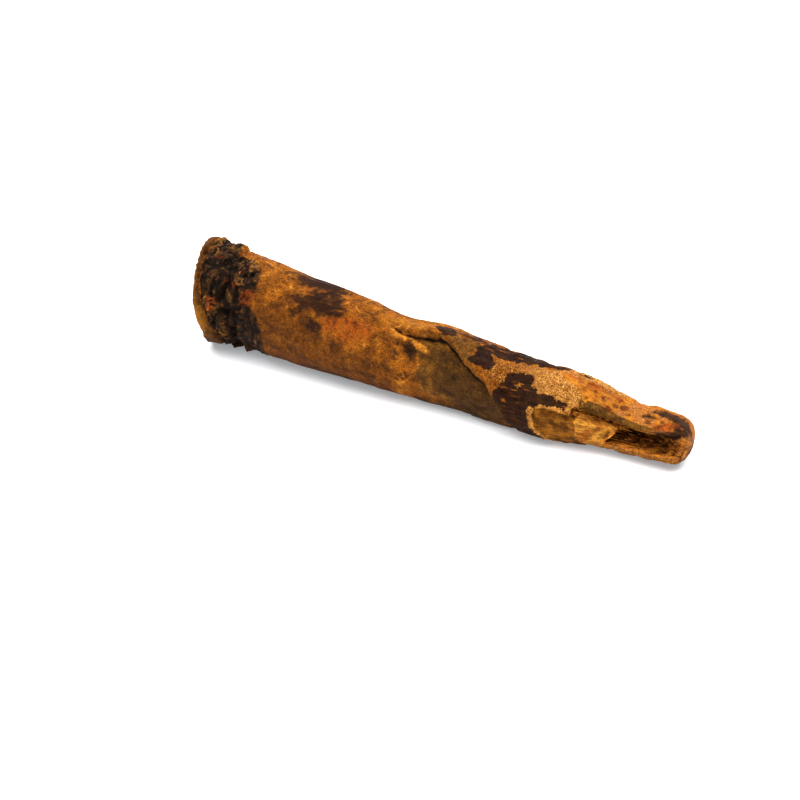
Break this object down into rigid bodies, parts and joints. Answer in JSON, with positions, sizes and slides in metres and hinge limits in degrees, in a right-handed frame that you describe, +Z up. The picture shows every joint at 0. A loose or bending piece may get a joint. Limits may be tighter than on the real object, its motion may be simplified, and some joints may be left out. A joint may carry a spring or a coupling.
{
  "type": "rhubarb root",
  "caption": "Dried rhubarb root lying on its side, with a scarred knobbly crown, a tapering wrinkled trunk and a split, broken tail.",
  "frame": {"origin": "middle of the root's box, on the surface that it rests on", "axes": "+X along the root from its crown to its tail, +Z up, -Y towards the side with the split and the broken flank"},
  "size_m": [0.1784, 0.0354, 0.0346],
  "materials": {
    "dried_root": "rough dried bark"
  },
  "bodies": {
    "root": {"rhubarb_root": "dried_root"}
  },
  "joints": []
}
